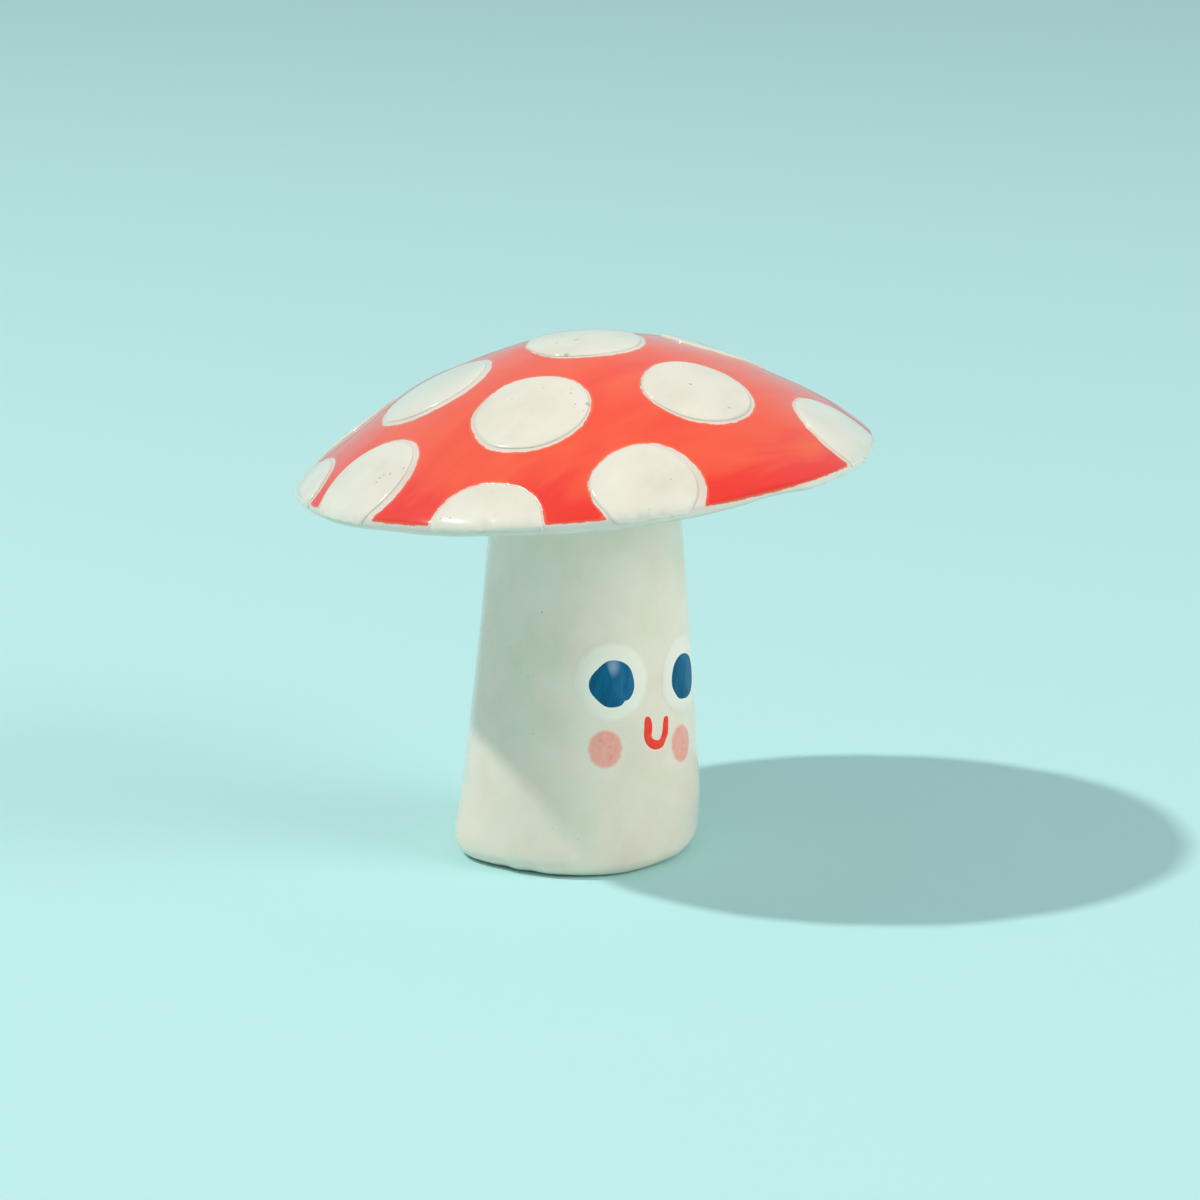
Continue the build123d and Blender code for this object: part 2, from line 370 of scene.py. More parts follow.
def flatDisc(name, radius, fade):  # rings closer together where the edge rounds off
    inner = radius - fade
    rings = [(radius - fade * share, 0) for share in flatCut["edgeRows"]]
    rings += [(inner * share, 0) for share in flatCut["innerRows"]]
    disc = raiseRings(name, rings, flatCut["segments"])
    openEdit(disc)
    selectPoints(disc, lambda co: co.length < inner * flatCut["middle"] * mm)
    bpy.ops.mesh.merge(type="CENTER")
    closeEdit()
    faceUp(disc)
    return disc


def wobbleOutline(piece, radius, amount, reach, seed):  # a hand-cut outline: soft pushes in and out round it
    draw = Random(seed)
    count = int(2 * pi * radius / reach)
    start = draw.uniform(0, 360)
    pushes = []
    for number in range(count):
        turn = radians(start + 360 * (number + draw.uniform(-flatCut["stray"], flatCut["stray"])) / count)
        side = Vector((cos(turn), sin(turn), 0))
        pushes.append((side * radius, side * draw.uniform(-amount, amount), reach))
    pushClay(piece, pushes)


def edgeDistances(piece):  # each point's distance from the flat outline
    shape = bmesh.new()
    shape.from_mesh(piece.data)
    border = [[end.co.copy() for end in edge.verts] for edge in shape.edges if edge.is_boundary]
    distances = []
    for point in shape.verts:
        best = float("inf")
        for one, other in border:
            along = other - one
            part = max(0, min(1, (point.co - one).dot(along) / along.length_squared))
            best = min(best, (point.co - one - along * part).length)
        distances.append(best)
    shape.free()
    return distances


# Lays a flat cut on the clay: sizes in mm, and the share of its thickness that its rim has
def layOn(piece, place, ground, thickness, sink, fade, rimShare, straight=True, soft=False):
    distances = edgeDistances(piece)
    full = piece.vertex_groups.new(name="full")
    for index, distance in enumerate(distances):
        part = min(1, distance / (fade * mm))
        climb = part * part * (3 - 2 * part) if soft else sqrt(1 - (1 - part) ** 2)
        full.add([index], rimShare + (1 - rimShare) * climb, "REPLACE")
    cut = [axis for point in piece.data.vertices for axis in point.co]
    piece.data.attributes.new("cut", "FLOAT_VECTOR", "POINT").data.foreach_set("vector", cut)
    piece.data.attributes.new("toEdge", "FLOAT", "POINT").data.foreach_set("value", distances)
    lifted = place @ Matrix.Translation((0, 0, mm))
    if straight:  # pressed straight on
        piece.matrix_world = lifted
        bpy.context.view_layer.update()
        applyModifier(piece, "SHRINKWRAP", {"target": ground, "wrap_method": "PROJECT", "use_project_z": True,
                                            "use_negative_direction": True, "offset": -sink * mm})
        bakePlace(piece, lifted)
    else:  # folded round the lip where it passes it
        bakePlace(piece, place)
        foldOverLip(piece)
        applyModifier(piece, "SHRINKWRAP", {"target": ground, "wrap_method": "NEAREST_SURFACEPOINT",
                                            "wrap_mode": "ABOVE_SURFACE", "offset": -sink * mm})
    outline = [(Vector(cut[index * 3:index * 3 + 3]), piece.data.vertices[index].co.copy())
               for index, distance in enumerate(distances) if distance < edgeSlack * mm]
    applyModifier(piece, "SOLIDIFY", {"thickness": (thickness + sink) * mm, "offset": 1, "use_rim": True,
                                      "vertex_group": "full", "use_even_offset": False})
    bpy.ops.object.shade_smooth_by_angle(angle=radians(sharpAngle))
    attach(piece, "root")
    return outline


def placeOn(centre, outward, upward):  # a frame on the surface: z outwards, y upwards
    outward = outward.normalized()
    side = upward.cross(outward).normalized()
    rise = outward.cross(side)
    turn = Matrix((side, rise, outward)).transposed().to_4x4()
    return Matrix.Translation(centre) @ turn


# Spots: discs of cream clay, cut by hand, pressed on and softened with a wet finger
spots = {
    "thickness": 0.27, "sink": 0.2, "fade": 0.45, "rimShare": 0.52, "wobble": 0.28, "reach": 5,
    "lipReach": 1.1,  # how far round the lip a disc goes at the most, in mm
    "rolledOut": 0.2,  # how much a disc spreads when it is pressed on, in mm of radius
    "cutSlack": 0.12,  # how far inside the trimming line a point still counts as cut, in mm
    "cutTurns": (-10, -5, 0, 5, 10),  # the cuts that trim a disc, in degrees round the cap
    "cutRows": (0.36, 0.2, 0.08, 0),  # rows before each cut, in mm, the last being the cut itself
    "clearOfLip": 2,  # a middle this far inside the lip, in mm, is settled on the clay
    "around": 13,  # how far from its middle a spot can change the paint, in mm
    # Unpainted margin of each spot: mm on average, mm more on one side, that side in degrees from the right
    "margins": [(0.34, 0.26, -50), (0.6, 0.5, 5), (0.34, 0.2, -110), (0.3, 0.22, -75), (0.3, 0.2, 0),
                (0.4, 0.3, 160), (0.4, 0.3, -90), (0.62, 0.52, -35), (0.25, 0.12, -150), (0.62, 0.55, -15),
                (0.3, 0.2, 40), (0.3, 0.2, 0), (0.34, 0.24, -165), (0.4, 0.3, 60), (0.35, 0.25, -120),
                (0.45, 0.35, 20)],
}
capBack = capPlace.inverted()
lipStart = nosePoint(cap["lipSlope"])[0]


def surfacePoint(ground, near):  # the closest place on a piece, and the way it faces there
    return ground.closest_point_on_mesh(near)[1:3]


def acrossCap(point):  # distance from the cap's axis, in mm
    return Vector((capBack @ point).xy).length / mm


def spotPlace(points):  # a CAD spot's middle over the cap, the way it faces there and its radius in mm
    place, facing = surfacePoint(capShell, sum(points, Vector()) / len(points))
    around = capUp.cross(facing).normalized()
    uphill = facing.cross(around)
    sides = [point.dot(around) for point in points]
    reach = (max(sides) - min(sides)) / 2
    topSide = max(point.dot(uphill) for point in points)
    middle = around * (max(sides) + min(sides)) / 2 + uphill * (topSide - reach)
    middle += facing * place.dot(facing)
    if acrossCap(middle) < lipStart - spots["clearOfLip"]:
        middle, facing = surfacePoint(capShell, middle)
    return middle, facing, reach / mm


def trimPastLip(disc, spread, facing):  # cuts off what would go too far round the lip; gives where it cut
    steep = facing.dot(capUp)
    inCap = capBack @ spread.translation
    towards = degrees(atan2(inCap.x, -inCap.y))
    intoCut = spread.inverted() @ capPlace
    for turn in spots["cutTurns"]:
        side = flatDirection(towards + turn)
        for inward in spots["cutRows"]:  # the rows before the cut give it a soft end
            reach = lipStart + (spots["lipReach"] - inward) * steep
            openEdit(disc)
            bpy.ops.mesh.select_all(action="SELECT")
            bpy.ops.mesh.bisect(plane_co=intoCut @ (side * reach * mm), plane_no=intoCut.to_3x3() @ side,
                                clear_outer=inward == 0)
            closeEdit()
    return lipStart + spots["lipReach"] * steep


def foldOverLip(disc):  # turns what lies past the start of the lip round it
    slant = cos(radians(cap["lipSlope"]))
    for point in disc.data.vertices:
        inCap = capBack @ point.co
        across = Vector(inCap.xy).length / mm
        if across > lipStart:
            turned, level = nosePoint(cap["lipSlope"] + degrees((across - lipStart) / slant / noseRadius))
            point.co = capPlace @ Vector((inCap.x * turned / across, inCap.y * turned / across, level * mm))


spotOutlines = []
for number, (margin, marginMore, lean) in enumerate(spots["margins"], start=1):
    node = f"spot_disc_{number:02d}"
    place, facing, reach = spotPlace([point.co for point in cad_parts[node].data.vertices])
    reach += spots["rolledOut"] - margin
    disc = flatDisc(f"spot{number:02d}", reach, spots["fade"])
    wobbleOutline(disc, reach, spots["wobble"], spots["reach"], number)
    aside = Vector((cos(radians(lean)), sin(radians(lean)), 0)) * marginMore
    spread = placeOn(place, facing, capUp) @ Matrix.Translation(-aside * mm)
    trimmedAt = cap["radius"] * 2  # beyond all points, for a disc that isn't cut
    if acrossCap(place) + reach * facing.dot(capUp) > lipStart:
        trimmedAt = trimPastLip(disc, spread, facing)
    outline = layOn(disc, spread, capShell, spots["thickness"], spots["sink"], spots["fade"],
                    spots["rimShare"], straight=False)
    uncut = [laid for flat, laid in outline if acrossCap(spread @ flat) < trimmedAt - spots["cutSlack"]]
    spotOutlines.append((spread, uncut, margin, marginMore, radians(lean)))
    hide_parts(node)
print("spots laid on")


# Face: two low discs of white slip, irises, cheeks and a mouth, each place in degrees and in mm of height
face = {
    # Each wobble: how far the cut outline strays, and how wide a push on it is, in mm
    "whitePlaces": {"left": (-25.4, 27.2), "right": (25.6, 26.2)}, "whiteSize": (10.6, 11.2),
    "whiteThickness": 0.26, "whiteSink": 0.15, "whiteFade": 1.6, "whiteRimShare": 0.4,
    "whiteWobble": (0.2, 5), "whiteSeeds": {"left": 31, "right": 32},
    "irisPlaces": {"left": (-25.4, 26.9), "right": (24.0, 25.9)}, "irisRadius": 3.2,
    "irisThickness": 0.06, "irisSink": 0.1, "irisFade": 0.5, "irisRimShare": 0.6,
    "irisWobble": (0.1, 2.2), "irisSeeds": {"left": 41, "right": 42},
    # Where the brush cut a round short: place on the flat cut, move and reach, all in mm
    "irisPushes": {"left": [((-2.2, 2.3, 0), (0.2, -0.12, 0), 2.4), ((-2.2, -2.3, 0), (0.2, 0.1, 0), 2.2),
                            ((3.2, 0, 0), (-0.12, 0, 0), 2.5), ((1.7, -2.7, 0), (-0.12, 0.25, 0), 0.6)],
                   "right": [((-2.2, 2.3, 0), (-0.1, 0.05, 0), 2.4), ((-1.9, -2.6, 0), (-0.1, -0.08, 0), 1.3),
                             ((-0.4, -3.2, 0), (0, 0.18, 0), 2.4)]},
    "cheekPlaces": {"left": (-28.9, 18.0), "right": (18.8, 16.8)}, "cheekRadius": 2.38, "cheekRise": 1.08,
    "mouthPlace": (0.3, 19.3), "mouthWidth": 4.5, "mouthRise": 4.7, "stroke": 1.15, "mouthTurn": -4,
    "mouthThickness": 0.06, "mouthSink": 0.1, "mouthFade": 0.35, "mouthRimShare": 0.6,
    "strokeRows": (0, 0.1, 0.3, 0.5, 0.7, 0.9, 1), "bendSegments": 48, "armRows": 4,
    # How each end of the stroke rounds off: a share of its width in length, and how much narrower it gets
    "endRows": ((0.26, 0.85), (0.15, 0.72), (0.09, 0.5)),
    # Where the brush was pressed or lifted: thick left arm and bend, thinner right arm that leans out
    "mouthPushes": [((-1.1, 1.4, 0), (0.36, 0, 0), 1.5), ((-1.1, 0.2, 0), (0.24, 0, 0), 1.2),
                    ((-0.8, -0.8, 0), (0.2, 0.1, 0), 1.2), ((1, -0.6, 0), (-0.28, 0.1, 0), 1.1),
                    ((1.1, 0.5, 0), (-0.14, 0, 0), 1.1), ((0, -1.2, 0), (0.1, 0.26, 0), 1.1),
                    ((1.9, -1.2, 0), (-0.28, 0.05, 0), 1.3), ((-1.6, 2.3, 0), (0, 0.12, 0), 1),
                    ((1.6, 2.3, 0), (0.06, -0.16, 0), 1.2)],
}


def placeOnStem(azimuth, height):  # a frame on the stem's skin
    near = flatDirection(azimuth) * stemRadius(height) + leanPerHeight * height + Vector((0, 0, height))
    place, facing = surfacePoint(stemSkin, near * mm)
    return placeOn(place, facing, Vector((0, 0, 1)))


for side in ("left", "right"):
    width, height = face["whiteSize"]
    white = flatDisc(f"eyeWhite{side.title()}", width / 2, face["whiteFade"])
    openEdit(white)
    bpy.ops.mesh.select_all(action="SELECT")
    bpy.ops.transform.resize(value=(1, height / width, 1), center_override=(0, 0, 0))
    closeEdit()
    wobbleOutline(white, width / 2, *face["whiteWobble"], face["whiteSeeds"][side])
    layOn(white, placeOnStem(*face["whitePlaces"][side]), stemSkin, face["whiteThickness"],
          face["whiteSink"], face["whiteFade"], face["whiteRimShare"], soft=True)
    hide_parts(f"eye_disc_{side}")
    iris = flatDisc(f"iris{side.title()}", face["irisRadius"], face["irisFade"])
    wobbleOutline(iris, face["irisRadius"], *face["irisWobble"], face["irisSeeds"][side])
    pushClay(iris, face["irisPushes"][side])
    layOn(iris, placeOnStem(*face["irisPlaces"][side]), white, face["irisThickness"],
          face["irisSink"], face["irisFade"], face["irisRimShare"])
print("eyes laid on")


def flatMouth(name):  # a brush stroke: half a flat ring, both ends drawn up and rounded off
    stroke = face["stroke"]
    outer = face["mouthWidth"] / 2
    bend = outer - stroke / 2
    low = outer - face["mouthRise"] / 2  # the bend's centre, with the stroke's middle at zero
    strokeRings = [(outer - stroke * share, 0) for share in face["strokeRows"]]
    mouth = raiseRings(name, strokeRings, face["bendSegments"])
    openEdit(mouth)
    bpy.ops.mesh.select_all(action="SELECT")
    bpy.ops.mesh.bisect(plane_co=(0, 0, 0), plane_no=(0, 1, 0), clear_outer=True)
    level = 0
    armRow = (face["mouthRise"] - outer - stroke / 2) / face["armRows"]
    endRows = [(share * stroke, narrow) for share, narrow in face["endRows"]]
    for climb, narrow in [(armRow, 1)] * face["armRows"] + endRows:
        selectPoints(mouth, lambda co: co.y > (level - levelSlack) * mm)
        bpy.ops.mesh.extrude_region_move(TRANSFORM_OT_translate={"value": (0, climb * mm, 0)})
        level += climb
        for side in (-1, 1):
            selectPoints(mouth, lambda co: co.y > (level - levelSlack) * mm and co.x * side > 0)
            bpy.ops.transform.resize(value=(narrow, 1, 1), center_override=(side * bend * mm, level * mm, 0))
    bpy.ops.mesh.select_all(action="SELECT")
    bpy.ops.transform.translate(value=(0, low * mm, 0))
    closeEdit()
    faceUp(mouth)
    return mouth


mouth = flatMouth("mouth")
pushClay(mouth, face["mouthPushes"])
openEdit(mouth)
bpy.ops.mesh.select_all(action="SELECT")
bpy.ops.mesh.vertices_smooth(factor=0.5, repeat=3)
closeEdit()
mouthSpread = placeOnStem(*face["mouthPlace"]) @ Matrix.Rotation(radians(face["mouthTurn"]), 4, "Z")
layOn(mouth, mouthSpread, stemSkin, face["mouthThickness"], face["mouthSink"], face["mouthFade"],
      face["mouthRimShare"])
cheekPlaces = [placeOnStem(*place).translation for place in face["cheekPlaces"].values()]
print("mouth laid on")


# Paint edges: how far each point lies from where a colour ends, kept as an attribute for the materials
def outlineReach(flat, turn):  # how far a wobbly outline reaches in one direction, between its points
    after = next((number for number, (angle, reach) in enumerate(flat) if angle > turn), 0)
    (angleA, reachA), (angleB, reachB) = flat[after - 1], flat[after]
    span = (angleB - angleA) % (2 * pi)
    return reachA + (reachB - reachA) * ((turn - angleA) % (2 * pi)) / span


farOff = 10  # stands for any distance well away from the edge of the paint, in mm


def paintEdgeOf(place, facing):  # metres from the edge of the red, positive where the cap is red
    inCap = capBack @ place
    across = Vector(inCap.xy).length / mm
    if across > noseAcross:
        turn = degrees(atan2(across - noseAcross, inCap.z / mm))
        towards = atan2(inCap.x, -inCap.y) - radians(cap["paintAzimuth"])
        edge = radians(cap["paintEnd"] + cap["paintSpread"] * cos(towards) - turn) * noseRadius * mm
    else:
        edge = copysign(farOff * mm, facing.dot(capUp))
    for toFlat, flat, margin, marginMore, lean in flatOutlines:
        inFlat = toFlat @ place
        if inFlat.length < spots["around"] * mm:
            turn = atan2(inFlat.y, inFlat.x)
            clear = margin + marginMore * cos(turn - lean) + spots["rolledOut"] / 2
            edge = min(edge, Vector(inFlat.xy).length - outlineReach(flat, turn) - clear * mm)
    return edge


flatOutlines = []
for spread, outline, margin, marginMore, lean in spotOutlines:
    toFlat = spread.inverted()
    inFlat = [toFlat @ point for point in outline]
    flat = sorted((atan2(point.y, point.x), Vector(point.xy).length) for point in inFlat)
    flatOutlines.append((toFlat, flat, margin, marginMore, lean))
edges = [paintEdgeOf(point.co, point.normal) for point in capShell.data.vertices]
capShell.data.attributes.new("paintEdge", "FLOAT", "POINT").data.foreach_set("value", edges)
upright = Vector((1, 1, 1 / face["cheekRise"]))  # the cheeks are a little taller than wide
edges = [min(((point.co - cheek) * upright).length for cheek in cheekPlaces) - face["cheekRadius"] * mm
         for point in stemSkin.data.vertices]
stemSkin.data.attributes.new("cheekEdge", "FLOAT", "POINT").data.foreach_set("value", edges)
print("paint edges kept")


# Materials: cream clay with underglaze colours brushed on, all under one clear gloss glaze
gloss = {"Roughness": 0.5, "IOR": 1.5, "Specular IOR Level": 0.12, "Coat Roughness": 0.11, "Coat IOR": 1.5}
patternSize = {  # real sizes of what the patterns draw, in mm
    "waves": 3.5, "smudges": 7, "pinholes": 1.5, "pinholeGroups": 9, "streaks": (16, 5, 9), "dustAndCreaseShade": 6,
    "stains": 8, "dabs": 0.7, "facets": (4.5, 4.5, 50), "slipEdge": 2.5, "bristles": (0.9, 3.2),
    "pools": 1.2, "sand": 0.6,
}
# How far the edge of a colour wanders, how coarsely, and how soft it is, in mm
raggedEdges = {"red": (0.32, 1.4, 0.06), "spotRim": (0.05, 2.5, 0.05), "cheek": (0.16, 2.4, 0.3)}


def patternScale(size):  # how often a pattern repeats in a metre, from its size in millimetres
    return 1 / (size * mm)


def glazed(tree, colour, normal, coat=1.0):  # clear gloss glaze over the fired colour: a hard glassy coat
    shader = addNode(tree, "ShaderNodeBsdfPrincipled", {**gloss, "Coat Weight": coat},
                     {"Base Color": colour, "Normal": normal, "Coat Normal": normal})
    addNode(tree, "ShaderNodeOutputMaterial", links={"Surface": shader.outputs["BSDF"]})


def mixColours(tree, share, below, above):  # one colour over another, each a socket or a hex colour
    mixed = addNode(tree, "ShaderNodeMix", {"data_type": "RGBA"}, {0: share})
    for socket, colour in ((6, below), (7, above)):
        if isinstance(colour, str):
            mixed.inputs[socket].default_value = linearOf(colour)
        else:
            tree.links.new(colour, mixed.inputs[socket])
    return mixed.outputs[2]


def glazeWaves(tree, place, height=None):  # the slow waves of a poured glaze, and any height below it
    waves = addNode(tree, "ShaderNodeTexNoise", {"Scale": patternScale(patternSize["waves"]), "Detail": 2},
                    {"Vector": place})
    bump = addNode(tree, "ShaderNodeBump", {"Strength": 0.25, "Distance": 0.12 * mm},
                   {"Height": waves.outputs["Fac"]})
    if height is None:
        return bump.outputs["Normal"]
    over = addNode(tree, "ShaderNodeBump", {"Strength": 0.5, "Distance": 0.05 * mm},
                   {"Height": height, "Normal": bump.outputs["Normal"]})
    return over.outputs["Normal"]


# Cream clay with soft smudges and pinholes in groups: holeSize is their largest radius, as a share of the
# distance between them
def clayColour(tree, place, stops, holeSize=0.1):
    smudge = addNode(tree, "ShaderNodeTexNoise",
                     {"Scale": patternScale(patternSize["smudges"]), "Detail": 3, "Roughness": 0.55},
                     {"Vector": place})
    clay = rampOf(tree, smudge.outputs["Fac"], stops)
    holes = addNode(tree, "ShaderNodeTexVoronoi",
                    {"Scale": patternScale(patternSize["pinholes"]), "Randomness": 1.0}, {"Vector": place})
    groups = addNode(tree, "ShaderNodeTexNoise",
                     {"Scale": patternScale(patternSize["pinholeGroups"]), "Detail": 1}, {"Vector": place})
    size = addNode(tree, "ShaderNodeMapRange",
                   {"From Min": 0.52, "From Max": 0.72, "To Min": 0.0, "To Max": holeSize},
                   {"Value": groups.outputs["Fac"]})
    dot = addNode(tree, "ShaderNodeMath", {"operation": "LESS_THAN"},
                  {0: holes.outputs["Distance"], 1: size.outputs["Result"]})
    faint = addNode(tree, "ShaderNodeMath", {"operation": "MULTIPLY", 1: 0.55}, {0: dot.outputs["Value"]})
    return mixColours(tree, faint.outputs["Value"], clay, "#A89C88")


def edgeShare(tree, attribute, place, wander, grain, soft):  # 0 to 1 across a ragged edge, sizes in mm
    kept = addNode(tree, "ShaderNodeAttribute", {"attribute_name": attribute})
    ragged = addNode(tree, "ShaderNodeTexNoise",
                     {"Scale": patternScale(grain), "Detail": 3, "Roughness": 0.6}, {"Vector": place})
    shift = addNode(tree, "ShaderNodeMath",
                    {"operation": "MULTIPLY_ADD", 1: 2 * wander * mm, 2: -wander * mm},
                    {0: ragged.outputs["Fac"]})
    moved = addNode(tree, "ShaderNodeMath", {"operation": "ADD"},
                    {0: kept.outputs["Fac"], 1: shift.outputs["Value"]})
    across = addNode(tree, "ShaderNodeMapRange",
                     {"interpolation_type": "SMOOTHSTEP", "From Min": -soft * mm, "From Max": soft * mm},
                     {"Value": moved.outputs["Value"]})
    return across.outputs["Result"]


spotSmudges = [(0.3, "#E8E0D1"), (0.5, "#F0E8DA"), (0.7, "#F3EDE0")]
capSmudges = [(0.3, "#E5D5C9"), (0.5, "#EBDCD1"), (0.7, "#EEE2D8")]
stemSmudges = [(0.3, "#EDDECD"), (0.5, "#F3E4D4"), (0.7, "#F5E8DA")]


def makeRedUnderglaze():
    # Red underglaze brushed on in two coats: deeper red towards the rim, more orange higher up, thin and
    # orange at edges
    material, tree = newMaterial("redUnderglazeBrushed")
    place = addNode(tree, "ShaderNodeTexCoord").outputs["Object"]
    swept = addNode(tree, "ShaderNodeMapping", {"Rotation": (0, 0, radians(40)),
                    "Scale": [patternScale(size) for size in patternSize["streaks"]]}, {"Vector": place})
    streaks = addNode(tree, "ShaderNodeTexNoise",
                      {"Scale": 1, "Detail": 2, "Roughness": 0.5, "Distortion": 0.6},
                      {"Vector": swept.outputs["Vector"]})
    above = addNode(tree, "ShaderNodeVectorMath", {"operation": "DOT_PRODUCT", 1: capUp}, {0: place})
    wander = addNode(tree, "ShaderNodeMath", {"operation": "MULTIPLY_ADD", 1: 7 * mm, 2: -3.5 * mm},
                     {0: streaks.outputs["Fac"]})
    wavy = addNode(tree, "ShaderNodeMath", {"operation": "ADD"},
                   {0: above.outputs["Value"], 1: wander.outputs["Value"]})
    # Deeper red lower down towards the rim, lighter and more orange higher up the dome
    rimLevel = capCentre.dot(capUp) * mm
    climb = addNode(tree, "ShaderNodeMapRange",
                    {"interpolation_type": "SMOOTHSTEP", "From Min": rimLevel + 0.6 * mm,
                     "From Max": rimLevel + 5.5 * mm, "To Min": -0.16, "To Max": 0.08},
                    {"Value": wavy.outputs["Value"]})
    calm = addNode(tree, "ShaderNodeMath", {"operation": "MULTIPLY_ADD", 1: 0.36, 2: 0.32},
                   {0: streaks.outputs["Fac"]})
    redTone = addNode(tree, "ShaderNodeMath", {"operation": "ADD"},
                   {0: calm.outputs["Value"], 1: climb.outputs["Result"]})
    red = rampOf(tree, redTone.outputs["Value"], [(0.38, "#F92914"), (0.5, "#FD4424"), (0.64, "#FF592F")])
    clay = clayColour(tree, place, capSmudges)
    share = edgeShare(tree, "paintEdge", place, *raggedEdges["red"])
    inside = addNode(tree, "ShaderNodeAttribute", {"attribute_name": "paintEdge"})
    brim = addNode(tree, "ShaderNodeMapRange",
                   {"From Min": 0.05 * mm, "From Max": 0.4 * mm, "To Min": 0.45, "To Max": 0},
                   {"Value": inside.outputs["Fac"]})
    colour = mixColours(tree, share, clay, mixColours(tree, brim.outputs["Result"], red, "#FF8C62"))
    glazed(tree, colour, glazeWaves(tree, place, share))
    return material


def makeSpotClay():
    # Cream earthenware under clear glaze, with a fine pinkish line round each disc: partly red and dust
    # settled in the crease, partly painted shade of the crease
    material, tree = newMaterial("creamEarthenwareDiscs")
    place = addNode(tree, "ShaderNodeTexCoord").outputs["Object"]
    clay = clayColour(tree, place, spotSmudges, 0.3)
    away = edgeShare(tree, "toEdge", place, *raggedEdges["spotRim"])
    settledRedAndCreaseShade = addNode(tree, "ShaderNodeTexNoise", {"Scale": patternScale(patternSize["dustAndCreaseShade"]), "Detail": 1},
                      {"Vector": place})
    most = addNode(tree, "ShaderNodeMapRange",
                   {"From Min": 0.4, "From Max": 0.62, "To Min": 0.1, "To Max": 0.65},
                   {"Value": settledRedAndCreaseShade.outputs["Fac"]})
    # Painted shade: the line darkens each disc's rim where it meets the cap, partly settled red, partly shade
    line = addNode(tree, "ShaderNodeMapRange", {"To Max": 0},
                   {"Value": away, "To Min": most.outputs["Result"]})
    glazed(tree, mixColours(tree, line.outputs["Result"], clay, "#C59C90"), glazeWaves(tree, place))
    return material


def makeStemClay():
    # The same clay, a little warmer and greenish in places under the glaze, with two cheeks of thin pink
    # underglaze dabbed on with a round brush
    material, tree = newMaterial("creamEarthenwareCheeks")
    place = addNode(tree, "ShaderNodeTexCoord").outputs["Object"]
    clay = clayColour(tree, place, stemSmudges)
    stains = addNode(tree, "ShaderNodeTexNoise", {"Scale": patternScale(patternSize["stains"]), "Detail": 2},
                     {"Vector": place})
    stained = addNode(tree, "ShaderNodeMapRange", {"From Min": 0.52, "From Max": 0.75, "To Max": 0.45},
                      {"Value": stains.outputs["Fac"]})
    clay = mixColours(tree, stained.outputs["Result"], clay, "#D9E2C4")
    outside = edgeShare(tree, "cheekEdge", place, *raggedEdges["cheek"])
    dabs = addNode(tree, "ShaderNodeTexNoise", {"Scale": patternScale(patternSize["dabs"]), "Detail": 2},
                   {"Vector": place})
    pink = rampOf(tree, dabs.outputs["Fac"], [(0.25, "#E69688"), (0.36, "#F9A597"), (0.7, "#FDB0A2")])
    # Upright facets, left by scraping the tube true
    scraped = addNode(tree, "ShaderNodeMapping",
                      {"Scale": [patternScale(size) for size in patternSize["facets"]]}, {"Vector": place})
    facets = addNode(tree, "ShaderNodeTexNoise", {"Scale": 1, "Detail": 1, "Roughness": 0.4},
                     {"Vector": scraped.outputs["Vector"]})
    drawn = addNode(tree, "ShaderNodeBump", {"Strength": 1, "Distance": 0.3 * mm},
                    {"Height": facets.outputs["Fac"]})
    glazed(tree, mixColours(tree, outside, pink, clay), drawn.outputs["Normal"])
    return material


def makeWhiteSlip():
    # White slip trailed on in a round, which thins to nothing at its edge
    material, tree = newMaterial("whiteSlipTrailed")
    place = addNode(tree, "ShaderNodeTexCoord").outputs["Object"]
    clay = clayColour(tree, place, stemSmudges)
    ragged = addNode(tree, "ShaderNodeTexNoise",
                     {"Scale": patternScale(patternSize["slipEdge"]), "Detail": 2}, {"Vector": place})
    away = addNode(tree, "ShaderNodeAttribute", {"attribute_name": "toEdge"})
    moved = addNode(tree, "ShaderNodeMath", {"operation": "MULTIPLY_ADD", 1: 0.6 * mm},
                    {0: ragged.outputs["Fac"], 2: away.outputs["Fac"]})
    thick = addNode(tree, "ShaderNodeMapRange",
                    {"interpolation_type": "SMOOTHSTEP", "From Min": 0.2 * mm, "From Max": 1.1 * mm},
                    {"Value": moved.outputs["Value"]})
    colour = mixColours(tree, thick.outputs["Result"], clay, "#FAF1E4")
    glazed(tree, colour, glazeWaves(tree, place))
    return material


